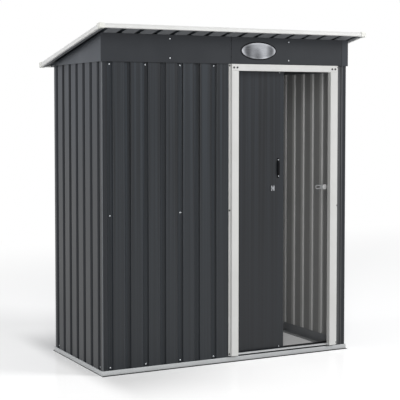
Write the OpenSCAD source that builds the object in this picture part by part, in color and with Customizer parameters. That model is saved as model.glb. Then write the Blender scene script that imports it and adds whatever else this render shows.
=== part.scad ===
// Metal tool shed with a single-slope roof and one sliding door.
// Lengths are in millimetres. X runs to the right, Y to the rear, Z up.
// The origin lies on the ground, under the middle of the roof.

/* [Shed] */
// outside width of the base frame
shed_width = 1500; // [1400:10:1800]
// outside depth of the base frame
shed_depth = 700; // [600:10:1000]
// height of the lower edge of the front fascia
wall_height = 1605; // [1500:5:1900]
// height of the front fascia
fascia_height = 145; // [130:1:220]
// height of the gable plates at the rear wall
rear_rise = 9; // [6:1:40]

/* [Sheet profile] */
// distance between two grooves
rib_pitch = 100; // [80:1:140]
// width of a groove at its mouth
groove_mouth = 34; // [32:1:46]
// width of a groove at its floor
groove_floor = 23; // [14:1:24]
// depth of a groove
groove_depth = 8.5; // [7:0.5:12]
// thickness of the sheets
sheet_t = 1; // [0.8:0.1:1.4]
// outer radius of the bends of the sheets
sheet_r = 3; // [2:0.5:4]

/* [Profiles] */
// thickness of the folded profiles
fold_t = 1.2; // [0.8:0.1:1.6]
// outer radius of the bends of the folded profiles
fold_r = 2; // [1.8:0.1:3]
// height of the base rails
base_h = 24; // [20:1:34]
// width of the base rails on the ground
base_flange = 75; // [70:1:95]
// distance from the base rail face to the sheet face
sheet_inset = 5; // [4:0.5:9]
// height of the angles inside the foot of the walls
floor_angle_h = 46; // [40:1:60]
// width of the angles inside the foot of the walls
floor_angle_w = 30; // [20:1:35]
// leg length of the corner posts
post_leg = 21; // [14:1:21]
// height of the rails inside the top of the walls
top_rail_h = 35; // [28:1:45]
// width of the rails inside the top of the walls
top_rail_w = 25; // [15:1:30]
// height of the middle of the rails half way up
mid_rail_z = 820; // [700:5:870]
// height of the rails half way up
mid_rail_h = 24; // [18:1:40]
// depth of the rails half way up
mid_rail_d = 10; // [6:0.5:10]
// diameter of the anchor holes in the base rails
anchor_d = 9; // [6:0.5:11]
// distance of the anchor holes from the ends of the shed
anchor_end = 120; // [100:1:170]

/* [Doorway] */
// clear width between the door posts
door_clear_w = 588; // [560:1:620]
// distance from the right edge of the shed to the doorway
door_right = 121; // [115:1:160]
// width of the face of the door frame
frame_face = 43; // [36:1:46]
// width of the flange of the left door post
left_flange = 10; // [8:1:16]
// width of the flange of the right door post
right_flange = 16; // [8:1:18]
// distance by which the door frame stands out
frame_proud = 19; // [14:0.5:22]
// height of the frame over the doorway
header_h = 36; // [30:1:40]
// height of the lower end of the door posts
jamb_foot = 30; // [26:1:40]
// height of the lower door track
track_h = 40; // [36:1:41]
// outside width of the door tracks
track_w = 42; // [42:0.5:46]
// height of the upper door track
track_top_h = 20; // [16:1:20]
// height of the nose of the sill
sill_h = 8; // [6:0.5:10]
// depth of the nose of the sill
sill_d = 13; // [6:0.5:13]

/* [Door] */
// distance by which the closed door passes each post
door_overlap = 24; // [18:1:26]
// thickness of the door
door_t = 20; // [16:1:22]
// height of the foot of the door, down inside the lower track
door_foot = 30; // [24:1:46]
// distance by which the door stands open
door_open = 302; // [250:1:330]
// width of the folded lips behind the door
door_lip = 14; // [8:1:30]
// gap of the shoes in their tracks
shoe_gap = 0.3; // [0.2:0.05:0.4]
// length of the shoes
shoe_len = 60; // [40:1:90]
// distance of the shoes from the edges of the door
shoe_edge = 30; // [20:1:60]
// height of a shoe in its track
shoe_h = 12; // [8:0.5:13]
// thickness of the neck of a shoe
shoe_neck = 12; // [8:0.5:14]
// length of the handle
handle_len = 108; // [90:1:130]
// width of the handle
handle_w = 10; // [10:1:20]
// distance by which the handle stands out
handle_d = 10; // [10:0.5:14]
// distance of the handle from the leading edge of the door
handle_edge = 38; // [30:1:50]
// height of the middle of the handle
handle_z = 1040; // [1030:1:1150]
// height of the lock
lock_d = 28; // [24:1:34]
// distance by which the lock stands out
lock_out = 10; // [9:0.5:10]
// height of the lock
lock_z = 929; // [905:1:940]
// distance of the lock from the leading edge of the door
lock_edge = 73; // [60:1:90]

/* [Roof] */
// overhang of the roof at each side
roof_side = 50; // [35:1:70]
// overhang of the roof at the front
roof_front = 105; // [70:1:120]
// overhang of the roof at the rear
roof_rear = 75; // [50:1:120]
// height of the roof trim
trim_h = 22; // [19:0.5:30]
// width of the upper flange of the roof trim
trim_flange = 16; // [12:1:22]
// length of the corner caps
cap_len = 28; // [24:1:45]
// wall of the corner caps
cap_t = 2.2; // [2:0.1:3]
// radius of the corner of the caps
cap_r = 5; // [3:0.5:5]

/* [Plate] */
// length of the oval plate
plate_w = 210; // [150:1:240]
// height of the oval plate
plate_h = 86; // [60:1:100]
// thickness of the oval plate
plate_t = 3; // [2:0.5:6]
// distance from the middle of the shed to the oval plate
plate_x = 169; // [140:1:300]

/* [Hidden] */
$fn = 48;
// flat pieces that draw each bend
bend_steps = 3;
// left and right edge of the base frame
xr = shed_width / 2;
xl = -xr;
// slope of the roof
slope = (fascia_height - rear_rise) / shed_depth;
roof_a = atan(slope);
// front and rear edge of the base frame, so that the roof has its middle over the origin
yf = -(shed_depth + roof_rear - roof_front + (trim_h - 2 * fold_t) * sin(roof_a)) / 2;
yr = yf + shed_depth;
// sheet faces, from the edges of the base frame
pan_out = sheet_inset;
pan_in = pan_out + sheet_t;
groove_in = pan_in + groove_depth;
// top of the sheets, inside the fascia
sheet_top = wall_height + 5;
// grooves on the walls, at an even distance
across = round(shed_width / rib_pitch);
along = round(shed_depth / rib_pitch);
pitch_x = shed_width / across;
pitch_y = shed_depth / along;
// the side sheets turn the corners and end here, just before the first groove
corner_seam = pitch_x / 2 - groove_mouth / 2 - 3.5;
// doorway
dr = xr - door_right;
dl = dr - door_clear_w;
frame_y = yf + pan_out - frame_proud;
frame_back = yf + groove_in;
header_z = wall_height - header_h;
// tracks of the door
track_f = frame_back;
track_r = track_f + track_w;
track_top_f = frame_back + fold_t;
track_top_r = track_top_f + track_w;
// door: it clears the rails in front of it and stays inside the tracks
door_clear = 5;
door_w = door_clear_w + 2 * door_overlap;
door_x1 = dr + door_overlap - door_open;
door_x0 = door_x1 - door_w;
door_y = frame_back + mid_rail_d + door_clear;
door_top_z = wall_height - track_top_h - 7;
shoe_y = door_y + door_t / 2;
handle_x = door_x1 - handle_edge;
lock_x = door_x1 - lock_edge;
// catch of the lock, behind the closed door
keeper_t = 2;
keeper_h = 24;
keeper_slot = 15;
keeper_boss = 32;
keeper_x = xr - pitch_x / 2 - groove_floor / 2 + sheet_r;
keeper_y = door_y + door_t + 3 * door_clear;
keeper_end = dr + door_overlap - lock_edge + 13;
keeper_z = lock_z - 6;
// roof: the lower face of its pans
fascia_y = yf - 2;
eave_z = wall_height + fascia_height;
roof_u0 = (yf - roof_front - fascia_y) / cos(roof_a);
roof_u1 = (yr + roof_rear - fascia_y) / cos(roof_a);
roof_x = xr + roof_side;
roof_play = 2;
gable_x = xr + 2;
gable_flange = 42;
fascia_seam = 2;
trim_lip = 12;

function unit(v) = v / norm(v);
function left_of(v) = [-v[1], v[0]];
function turned_back(p) = [for (i = [len(p) - 1 : -1 : 0]) p[i]];

// points of the arc of radius r that rounds the corner at b
function arc_at(a, b, c, r) =
  let (u = unit(a - b), w = unit(c - b), half = acos(u * w) / 2,
    m = b + unit(u + w) * r / sin(half), e = b + u * r / tan(half) - m, f = b + w * r / tan(half) - m,
    start = atan2(e[1], e[0]), sweep = atan2(e[0] * f[1] - e[1] * f[0], e * f))
  [for (k = [0 : bend_steps]) let (g = start + sweep * k / bend_steps) m + r * [cos(g), sin(g)]];

// an open path with its inner corners rounded
function bent(p, r) = [for (i = [0 : len(p) - 1])
  each (i == 0 || i == len(p) - 1 ? [p[i]] : arc_at(p[i - 1], p[i], p[i + 1], r))];

// a closed outline with all its corners rounded
function rounded(p, r) = [for (i = [0 : len(p) - 1])
  each arc_at(p[(i + len(p) - 1) % len(p)], p[i], p[(i + 1) % len(p)], r)];

// an open path moved to its left by t
function beside(p, t) = [for (i = [0 : len(p) - 1])
  let (n0 = left_of(unit(i == 0 ? p[1] - p[0] : p[i] - p[i - 1])),
    n1 = left_of(unit(i == len(p) - 1 ? p[i] - p[i - 1] : p[i + 1] - p[i])), m = unit(n0 + n1))
  p[i] + m * t / (m * n0)];

// middles of the grooves that fit between two ends, counted from a first one
function grooves(from, to, first, step) = [
  for (k = [0 : round((to - from) / step) + 1])
    if (first + k * step - groove_mouth / 2 - sheet_r > from
        && first + k * step + groove_mouth / 2 + sheet_r < to) first + k * step];

// path along the outer face of a sheet, with grooves to its left
function grooved(from, to, middles) = concat([[from, 0]],
  [for (c = middles) each [[c - groove_mouth / 2, 0], [c - groove_floor / 2, groove_depth],
    [c + groove_floor / 2, groove_depth], [c + groove_mouth / 2, 0]]],
  [[to, 0]]);

// height of the lower face of the roof at a given depth
function roof_z(y) = eave_z - (y - fascia_y) * slope;

// section of a sheet folded along a path, with its thickness to the left of the path
module folded(path, t, r) {
  line = bent(path, r);
  polygon(concat(line, turned_back(beside(line, t))));
}

// a box between two corners
module box(a, b) {
  translate(a) cube(b - a);
}

// a section in Y and Z, run along X
module along_x(from, to) {
  translate([from, 0, 0]) rotate([90, 0, 90]) linear_extrude(to - from) children();
}

// a section in X and Z, run along Y
module along_y(from, to) {
  translate([0, to, 0]) rotate([90, 0, 0]) linear_extrude(to - from) children();
}

// a section in X and Y, run along Z
module along_z(from, to) {
  translate([0, 0, from]) linear_extrude(to - from) children();
}

// a copy on the right side of the shed
module on_right() {
  mirror([1, 0, 0]) children();
}

// a copy at the rear of the base frame
module at_rear() {
  translate([0, yf + yr, 0]) mirror([0, 1, 0]) children();
}

// the frame of the roof: Y runs down the slope, Z stands on the roof
module on_roof() {
  translate([0, fascia_y, eave_z]) rotate([-roof_a, 0, 0]) children();
}

// cuts a piece off along the lower face of the roof
module under_roof() {
  difference() {
    children();
    on_roof() box([-roof_x, roof_u0, 0], [roof_x, roof_u1, fascia_height]);
  }
}

module base_rail_front() {
  color("WhiteSmoke") along_x(xl, xr) folded([[yf + pan_out, base_h], [yf, base_h], [yf, 0],
    [yf + base_flange, 0]], fold_t, fold_r);
}

module base_rail_rear() {
  at_rear() base_rail_front();
}

module base_rail_left() {
  color("WhiteSmoke") difference() {
    along_y(yf + fold_t, yr - fold_t) folded([[xl + pan_out, base_h], [xl, base_h], [xl, 0],
      [xl + base_flange, 0]], fold_t, fold_r);
    for (y = [yf, yr - base_flange])
      box([xl - 1, y, -1], [xl + base_flange + 1, y + base_flange, fold_t]);
    for (y = [yf, yr - pan_out])
      box([xl - 1, y, base_h - fold_t], [xl + base_flange, y + pan_out, base_h + 1]);
    for (y = [yf + anchor_end, yr - anchor_end])
      translate([(xl + groove_in + floor_angle_w + xl + base_flange) / 2, y, -1])
        cylinder(d = anchor_d, h = fold_t + 2);
  }
}

module base_rail_right() {
  on_right() base_rail_left();
}

module floor_angle_rear() {
  y = yr - groove_in;
  color("DimGray") along_x(xl + groove_in, xr - groove_in)
    folded([[y - floor_angle_w, fold_t], [y, fold_t], [y, floor_angle_h]], fold_t, fold_r);
}

module floor_angle_left() {
  x = xl + groove_in;
  color("DimGray") along_y(track_r, yr - groove_in - floor_angle_w)
    folded([[x, floor_angle_h], [x, fold_t], [x + floor_angle_w, fold_t]], fold_t, fold_r);
}

module floor_angle_right() {
  on_right() floor_angle_left();
}

module door_track_bottom() {
  color("Gainsboro") along_x(xl + groove_in, xr - groove_in)
    folded([[track_f, track_h], [track_f, fold_t], [track_r, fold_t], [track_r, track_h]],
      fold_t, fold_r);
}

module door_sill() {
  color("White") along_x(dl, dr)
    folded([[track_f, track_h - sill_h], [track_f, track_h], [track_f - sill_d, track_h],
      [track_f - sill_d, track_h - sill_h]], fold_t, fold_r);
}

// a grooved front sheet between two ends
module front_sheet(from, to, middles) {
  along_z(fold_t, sheet_top) translate([0, yf + pan_out])
    folded(grooved(from, to, middles), sheet_t, sheet_r);
}

module front_wall_left_sheet() {
  color("DarkSlateGray") front_sheet(xl + corner_seam, dl - fold_t,
    grooves(xl + corner_seam, dl - frame_face - left_flange, xl + pitch_x / 2, pitch_x));
}

module front_wall_right_sheet() {
  color("DarkSlateGray") front_sheet(dr + fold_t, xr - corner_seam,
    grooves(dr + frame_face, xr - corner_seam, xr - pitch_x / 2, pitch_x));
}

module left_wall_sheet() {
  x = xl + pan_out;
  middles = grooves(yf + pan_out, yr - pan_out, yf + pitch_y / 2, pitch_y);
  side = grooved(yf + pan_out, yr - pan_out, middles);
  color("DarkSlateGray") along_z(fold_t, sheet_top) folded(concat(
    [[xl + corner_seam, yr - pan_out]],
    [for (p = turned_back(side)) [x + p[1], p[0]]],
    [[xl + corner_seam, yf + pan_out]]), sheet_t, sheet_r);
}

module right_wall_sheet() {
  on_right() left_wall_sheet();
}

// the seam of the rear wall lies between two grooves
rear_left = grooves(xl + corner_seam, 0, xl + pitch_x / 2, pitch_x);
rear_seam = rear_left[len(rear_left) - 1] + pitch_x / 2;

module rear_wall_left_sheet() {
  color("DarkSlateGray") at_rear() front_sheet(xl + corner_seam, rear_seam, rear_left);
}

module rear_wall_right_sheet() {
  color("DarkSlateGray") at_rear() front_sheet(rear_seam, xr - corner_seam,
    grooves(rear_seam, xr - corner_seam, rear_seam + pitch_x / 2, pitch_x));
}

module corner_post_front_left() {
  x = xl + pan_in;
  y = yf + pan_in;
  color("DarkGray") along_z(fold_t, wall_height)
    folded([[x, y + post_leg], [x, y], [x + post_leg, y]], fold_t, sheet_r);
}

module corner_post_front_right() {
  on_right() corner_post_front_left();
}

module corner_post_rear_left() {
  at_rear() corner_post_front_left();
}

module corner_post_rear_right() {
  at_rear() on_right() corner_post_front_left();
}

module top_rail_front() {
  color("Gainsboro") box([xl + groove_in, frame_back, wall_height - top_rail_h],
    [xr - groove_in, frame_back + fold_t, wall_height]);
}

module top_rail_rear() {
  y = yr - groove_in;
  z = wall_height - top_rail_h;
  color("Gainsboro") under_roof() along_x(xl + groove_in, xr - groove_in)
    folded([[y - top_rail_w, z], [y, z], [y, eave_z]], fold_t, fold_r);
}

module top_rail_left() {
  x = xl + groove_in;
  z = wall_height - top_rail_h;
  color("DimGray") along_y(track_top_r, yr - groove_in - top_rail_w)
    folded([[x, wall_height], [x, z], [x + top_rail_w, z]], fold_t, fold_r);
}

module top_rail_right() {
  on_right() top_rail_left();
}

module mid_rail_front() {
  y = frame_back;
  z = mid_rail_z - mid_rail_h / 2;
  color("DimGray") along_x(xl + pan_in + fold_t, dl - fold_t)
    folded([[y + mid_rail_d, z + mid_rail_h], [y, z + mid_rail_h], [y, z], [y + mid_rail_d, z]],
      fold_t, fold_r);
}

module mid_rail_rear() {
  y = yr - groove_in;
  z = mid_rail_z - mid_rail_h / 2;
  color("DimGray") along_x(xl + pan_in + fold_t, xr - pan_in - fold_t)
    folded([[y - mid_rail_d, z], [y, z], [y, z + mid_rail_h], [y - mid_rail_d, z + mid_rail_h]],
      fold_t, fold_r);
}

module door_track_top() {
  z = wall_height - track_top_h;
  color("Gainsboro") along_x(xl + groove_in, xr - groove_in)
    folded([[track_top_r, z], [track_top_r, wall_height], [track_top_f, wall_height],
      [track_top_f, z]], fold_t, fold_r);
}

// a door post, with its inner return along X = 0 and its face towards -X; the flange runs on beside the header
module jamb(wide) {
  flange = [[-frame_face - wide, frame_proud - fold_t], [-frame_face, frame_proud - fold_t],
    [-frame_face, 0]];
  along_z(jamb_foot, header_z) folded(concat(flange, [[0, 0], [0, frame_back - frame_y]]), fold_t, fold_r);
  along_z(header_z, wall_height) folded(flange, fold_t, fold_r);
}

module door_jamb_left() {
  color("White") translate([dl, frame_y, 0]) jamb(left_flange);
}

module door_jamb_right() {
  color("White") translate([dr, frame_y, 0]) mirror([1, 0, 0]) jamb(right_flange);
}

module door_header() {
  color("White") difference() {
    along_x(dl - frame_face + fold_t, dr + frame_face - fold_t) folded([[yf + pan_out, wall_height],
      [frame_y, wall_height], [frame_y, header_z], [frame_back, header_z]], fold_t, fold_r);
    for (x = [dl - frame_face - 1, dr])
      box([x, frame_y + fold_r, header_z - 1], [x + frame_face + 1, frame_back + 1, header_z + fold_r]);
  }
}

module lock_keeper() {
  color("Silver") difference() {
    union() {
      along_z(keeper_z - keeper_h / 2, keeper_z + keeper_h / 2)
        folded([[keeper_end, keeper_y], [keeper_x, keeper_y],
          [keeper_x, frame_back], [keeper_x + groove_floor - 2 * sheet_r, frame_back]], keeper_t, 3);
      translate([keeper_end, keeper_y, keeper_z]) rotate([-90, 0, 0]) cylinder(d = keeper_h, h = keeper_t);
      translate([dr + 11, keeper_y - door_clear, keeper_z]) rotate([-90, 0, 0])
        cylinder(d = keeper_boss, h = door_clear);
    }
    for (x = [keeper_end, keeper_end + keeper_slot]) translate([x, keeper_y - 1, keeper_z])
      rotate([-90, 0, 0]) cylinder(d = keeper_h / 2, h = keeper_t + 2);
    box([keeper_end, keeper_y - 1, keeper_z - keeper_h / 4],
      [keeper_end + keeper_slot, keeper_y + keeper_t + 1, keeper_z + keeper_h / 4]);
  }
}

// one half of the fascia, between two ends
module fascia(from, to) {
  under_roof() along_x(from, to) folded([[fascia_y, eave_z + fold_r], [fascia_y, wall_height],
    [yf + pan_out, wall_height]], fold_t, fold_r);
}

module fascia_left() {
  color("DarkSlateGray") fascia(-gable_x + fold_r, -fascia_seam / 2);
}

module fascia_right() {
  color("DarkSlateGray") fascia(fascia_seam / 2, gable_x - fold_r);
}

module gable_left() {
  y0 = fascia_y - fold_t;
  y1 = yr + 2;
  color("DarkSlateGray") {
    under_roof() along_z(wall_height, eave_z + fold_r)
      folded([[-gable_x, y1], [-gable_x, y0], [-gable_x + gable_flange, y0]], fold_t, fold_r);
    box([-gable_x, yf + pan_out, wall_height], [xl + pan_out, y1, wall_height + fold_t]);
  }
}

module gable_right() {
  on_right() gable_left();
}

// a roof sheet has its ribs standing up from wide pans
module roof_sheet_left() {
  from = -roof_x + fold_t + roof_play;
  color("DarkSlateGray") on_roof() along_y(roof_u0 + fold_t + roof_play, roof_u1 - fold_t - roof_play)
    folded(grooved(from, 0, grooves(from, 0, xl, pitch_x)), sheet_t, sheet_r);
}

module roof_sheet_right() {
  on_right() roof_sheet_left();
}

// section of the roof trim, with its outer face at 0; its upper half leans inwards
module trim_section() {
  folded([[trim_flange, trim_h - fold_t], [roof_play, trim_h - fold_t], [0, trim_h / 2],
    [0, -fold_t], [trim_lip, -fold_t]], fold_t, fold_r);
}

module roof_trim_front() {
  color("White") on_roof() translate([0, roof_u0, 0]) along_x(-roof_x, roof_x) trim_section();
}

module roof_trim_rear() {
  color("White") on_roof() translate([0, roof_u1, 0]) mirror([0, 1, 0])
    along_x(-roof_x, roof_x) trim_section();
}

module roof_trim_left() {
  color("White") on_roof() along_y(roof_u0 + trim_flange, roof_u1 - trim_flange)
    translate([-roof_x, 0]) trim_section();
}

module roof_trim_right() {
  on_right() roof_trim_left();
}

// a moulded cap over the front left corner of the roof trim
module corner_cap() {
  x = -roof_x;
  low = -fold_t;
  high = trim_h - fold_t;
  difference() {
    along_z(low - cap_t, high + cap_t) polygon(concat(
      bent([[x - cap_t, roof_u0 + cap_len], [x - cap_t, roof_u0 - cap_t], [x + cap_len, roof_u0 - cap_t]],
        cap_r), [[x + cap_len, roof_u0 + cap_len]]));
    box([x, roof_u0, low], [x + cap_len + 1, roof_u0 + cap_len + 1, high]);
    box([x + trim_lip, roof_u0 + trim_lip, low - 5], [x + cap_len + 1, roof_u0 + cap_len + 1, high + 5]);
  }
}

module roof_corner_caps() {
  color("White") on_roof() for (side = [0, 1], end = [0, 1])
    mirror([side, 0, 0]) translate([0, end * (roof_u0 + roof_u1), 0]) mirror([0, end, 0]) corner_cap();
}

// an ellipse of a given size
module oval(w, h) {
  polygon([for (a = [0 : 5 : 355]) [w / 2 * cos(a), h / 2 * sin(a)]]);
}

module oval_plate() {
  rim = 3;
  color("Silver") translate([plate_x, fascia_y, wall_height + fascia_height / 2]) rotate([90, 0, 0]) {
    linear_extrude(plate_t / 2) oval(plate_w, plate_h);
    linear_extrude(plate_t) oval(plate_w - 2 * rim, plate_h - 2 * rim);
  }
}

module door_panel() {
  back = door_y + door_t;
  color("DarkSlateGray") {
    along_z(door_foot, door_top_z) folded([[door_x0 + door_lip, back], [door_x0, back],
      [door_x0, door_y], [door_x1, door_y], [door_x1, back], [door_x1 - door_lip, back]],
      fold_t, fold_r);
    for (z = [door_foot, door_top_z - fold_t])
      box([door_x0 + fold_r, door_y + fold_t / 2, z], [door_x1 - fold_r, back, z + fold_t]);
  }
}

module door_handle() {
  foot = 18;
  foot_t = 4;
  bar_t = 5;
  z0 = handle_z - handle_len / 2;
  z1 = z0 + handle_len;
  y = door_y - handle_d;
  color("Black") along_x(handle_x - handle_w / 2, handle_x + handle_w / 2)
    polygon(rounded([[door_y, z0], [door_y, z0 + foot], [y + bar_t, z0 + foot + 8],
      [y + bar_t, z1 - foot - 8], [door_y, z1 - foot], [door_y, z1], [door_y - foot_t, z1],
      [door_y - foot_t, z1 - foot + 4], [y, z1 - foot - 6], [y, z0 + foot + 6],
      [door_y - foot_t, z0 + foot - 4], [door_y - foot_t, z0]], 1.5));
}

module door_lock() {
  plate_h = 4;
  knob = 11;
  long = lock_d / 2;
  wide = 10.5;
  notch = 3.5;
  bridge = 6;
  color("Silver") translate([lock_x, door_y, lock_z]) rotate([90, 0, 0]) {
    along_z(0, plate_h) polygon(rounded([[-wide, -long], [-notch, -long], [-notch, -bridge],
      [notch, -bridge], [notch, -long], [wide, -long], [wide, long], [notch, long], [notch, bridge],
      [-notch, bridge], [-notch, long], [-wide, long]], 1.5));
    cylinder(d = knob, h = lock_out);
  }
}

// a shoe in section: its head lies in a track, and its neck carries the door
module shoe(x, z, head_y, dir, reach) {
  head_w = track_w - 2 * fold_t - 2 * shoe_gap;
  along_x(x, x + shoe_len) {
    polygon(rounded([[head_y, z], [head_y + head_w, z], [head_y + head_w, z + dir * shoe_h],
      [head_y, z + dir * shoe_h]], fold_r));
    polygon([[shoe_y - shoe_neck / 2, z + dir * shoe_h / 2], [shoe_y + shoe_neck / 2, z + dir * shoe_h / 2],
      [shoe_y + shoe_neck / 2, reach], [shoe_y - shoe_neck / 2, reach]]);
  }
}

module door_runners() {
  inside = fold_t + shoe_gap;
  color("Gray") for (x = [door_x0 + shoe_edge, door_x1 - shoe_edge - shoe_len]) {
    shoe(x, 2 * fold_t + shoe_gap, track_f + inside, 1, door_foot);
    shoe(x, wall_height - inside, track_top_f + inside, -1, door_top_z);
  }
}

base_rail_front();
base_rail_rear();
base_rail_left();
base_rail_right();
floor_angle_rear();
floor_angle_left();
floor_angle_right();
door_track_bottom();
door_sill();
front_wall_left_sheet();
front_wall_right_sheet();
left_wall_sheet();
right_wall_sheet();
rear_wall_left_sheet();
rear_wall_right_sheet();
corner_post_front_left();
corner_post_front_right();
corner_post_rear_left();
corner_post_rear_right();
top_rail_front();
top_rail_rear();
top_rail_left();
top_rail_right();
mid_rail_front();
mid_rail_rear();
door_track_top();
door_jamb_left();
door_jamb_right();
door_header();
lock_keeper();
fascia_left();
fascia_right();
gable_left();
gable_right();
roof_sheet_left();
roof_sheet_right();
roof_trim_front();
roof_trim_rear();
roof_trim_left();
roof_trim_right();
roof_corner_caps();
oval_plate();
door_panel();
door_handle();
door_lock();
door_runners();
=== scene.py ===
"""Looks of a metal tool shed: finishes for its sheets and profiles, its screws, and a studio stage."""

from __future__ import annotations

import logging
import math
from collections.abc import Callable
from dataclasses import dataclass
from enum import Enum

import bpy
from bpy.types import Material, MeshPolygon, Node, NodeSocket, NodeTree, Object, Scene
from mathutils import Matrix, Vector

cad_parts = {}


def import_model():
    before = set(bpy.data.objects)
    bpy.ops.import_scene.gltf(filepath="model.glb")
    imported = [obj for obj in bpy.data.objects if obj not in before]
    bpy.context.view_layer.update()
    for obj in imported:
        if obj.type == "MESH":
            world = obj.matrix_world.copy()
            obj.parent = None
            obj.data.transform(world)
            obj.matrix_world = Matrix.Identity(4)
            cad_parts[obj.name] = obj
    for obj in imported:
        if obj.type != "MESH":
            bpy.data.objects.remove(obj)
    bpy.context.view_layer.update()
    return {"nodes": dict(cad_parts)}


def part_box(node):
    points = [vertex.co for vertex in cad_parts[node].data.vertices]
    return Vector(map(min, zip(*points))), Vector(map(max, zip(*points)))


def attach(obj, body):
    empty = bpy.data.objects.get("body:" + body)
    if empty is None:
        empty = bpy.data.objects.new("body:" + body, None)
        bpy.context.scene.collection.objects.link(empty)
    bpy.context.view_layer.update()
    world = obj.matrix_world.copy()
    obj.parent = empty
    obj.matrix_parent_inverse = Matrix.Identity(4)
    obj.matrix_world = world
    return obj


LOG = logging.getLogger("tool_shed")
MM = 0.001
PITCH = 100 * MM
GROOVE_DEPTH = 8.5 * MM
SMOOTH_ANGLE = math.radians(40)
NOISE_RANGE = (0.3, 0.7)
FRONT = Vector((0, -1, 0))
REAR = Vector((0, 1, 0))
LEFT = Vector((-1, 0, 0))
RIGHT = Vector((1, 0, 0))


class Axis(Enum):
    """The three directions of the shed."""

    X = 0
    Y = 1
    Z = 2


class Body(Enum):
    """The two bodies that pieces ride on."""

    SHED = "shed"
    DOOR = "door"


class WallPlane(Enum):
    """The nearer or the farther of the two wall planes beside a point, by the operation that picks it."""

    NEARER = "MINIMUM"
    FARTHER = "MAXIMUM"


# Small helpers


def linear(hex_colour: str) -> tuple[float, float, float, float]:
    """Turn an sRGB hex colour to linear light.

    Args:
        hex_colour: six hex digits after a hash.

    Returns:
        The linear red, green and blue, and an alpha of one.
    """
    parts = [int(hex_colour[i:i + 2], 16) / 255 for i in (1, 3, 5)]
    light = [p / 12.92 if p <= 0.04045 else ((p + 0.055) / 1.055) ** 2.4 for p in parts]
    return light[0], light[1], light[2], 1.0


def shaded(hex_colour: str, factor: float) -> tuple[float, float, float, float]:
    """Give a colour in linear light, made lighter or darker by a factor."""
    r, g, b, alpha = linear(hex_colour)
    return min(1.0, r * factor), min(1.0, g * factor), min(1.0, b * factor), alpha


def add_node(tree: NodeTree, kind: str, inputs: dict | None = None, **settings) -> Node:
    """Add a node with its settings, and link or set its sockets.

    Args:
        tree: the node tree that takes the node.
        kind: the node's type name.
        inputs: a value to set, or a socket to link, for each input. A node stands for its first output in use.
        **settings: the node's own properties.

    Returns:
        The new node.
    """
    node = tree.nodes.new(kind)
    for key, value in settings.items():
        setattr(node, key, value)
    for key, value in (inputs or {}).items():
        if isinstance(value, Node):
            value = next(output for output in value.outputs if output.enabled)
        if isinstance(value, NodeSocket):
            tree.links.new(value, node.inputs[key])
        else:
            node.inputs[key].default_value = value
    return node


def object_place(tree: NodeTree) -> NodeSocket:
    """Give the Object coordinates, in metres."""
    return add_node(tree, "ShaderNodeTexCoord").outputs["Object"]


def stretched(tree: NodeTree, x_mm: float, y_mm: float, z_mm: float) -> Node:
    """Give Object coordinates on which a pattern has features of a set size along each axis.

    Args:
        tree: the material's node tree.
        x_mm: the size of a feature along X.
        y_mm: its size along Y.
        z_mm: its size along Z.

    Returns:
        The scaled coordinates.
    """
    scale = (1 / (x_mm * MM), 1 / (y_mm * MM), 1 / (z_mm * MM))
    return add_node(tree, "ShaderNodeMapping", {"Vector": object_place(tree), "Scale": scale})


def lined(tree: NodeTree, run: Axis, length_mm: float, width_mm: float) -> Node:
    """Give Object coordinates on which a pattern becomes lines along one axis.

    Args:
        tree: the material's node tree.
        run: the axis that the lines run along.
        length_mm: the length of a line.
        width_mm: the width of a line.

    Returns:
        The scaled coordinates.
    """
    return stretched(tree, *(length_mm if axis is run else width_mm for axis in Axis))


def uneven(tree: NodeTree, pattern: Node, roughness: float, swing: tuple[float, float]) -> Node:
    """Let the roughness of a finish drift with a pattern.

    Args:
        tree: the material's node tree.
        pattern: the noise that it drifts with.
        roughness: the roughness that it drifts from.
        swing: what is added to it where the noise is low, and where it is high.

    Returns:
        The roughness.
    """
    return add_node(tree, "ShaderNodeMapRange", {
        "Value": pattern, "From Min": NOISE_RANGE[0], "From Max": NOISE_RANGE[1],
        "To Min": roughness + swing[0], "To Max": roughness + swing[1]})


def middle_and_half(low: Vector, high: Vector) -> tuple[Vector, Vector]:
    """Give the middle of a box and half its size, from its two corners."""
    return (low + high) / 2, (high - low) / 2


# Finishes


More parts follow.
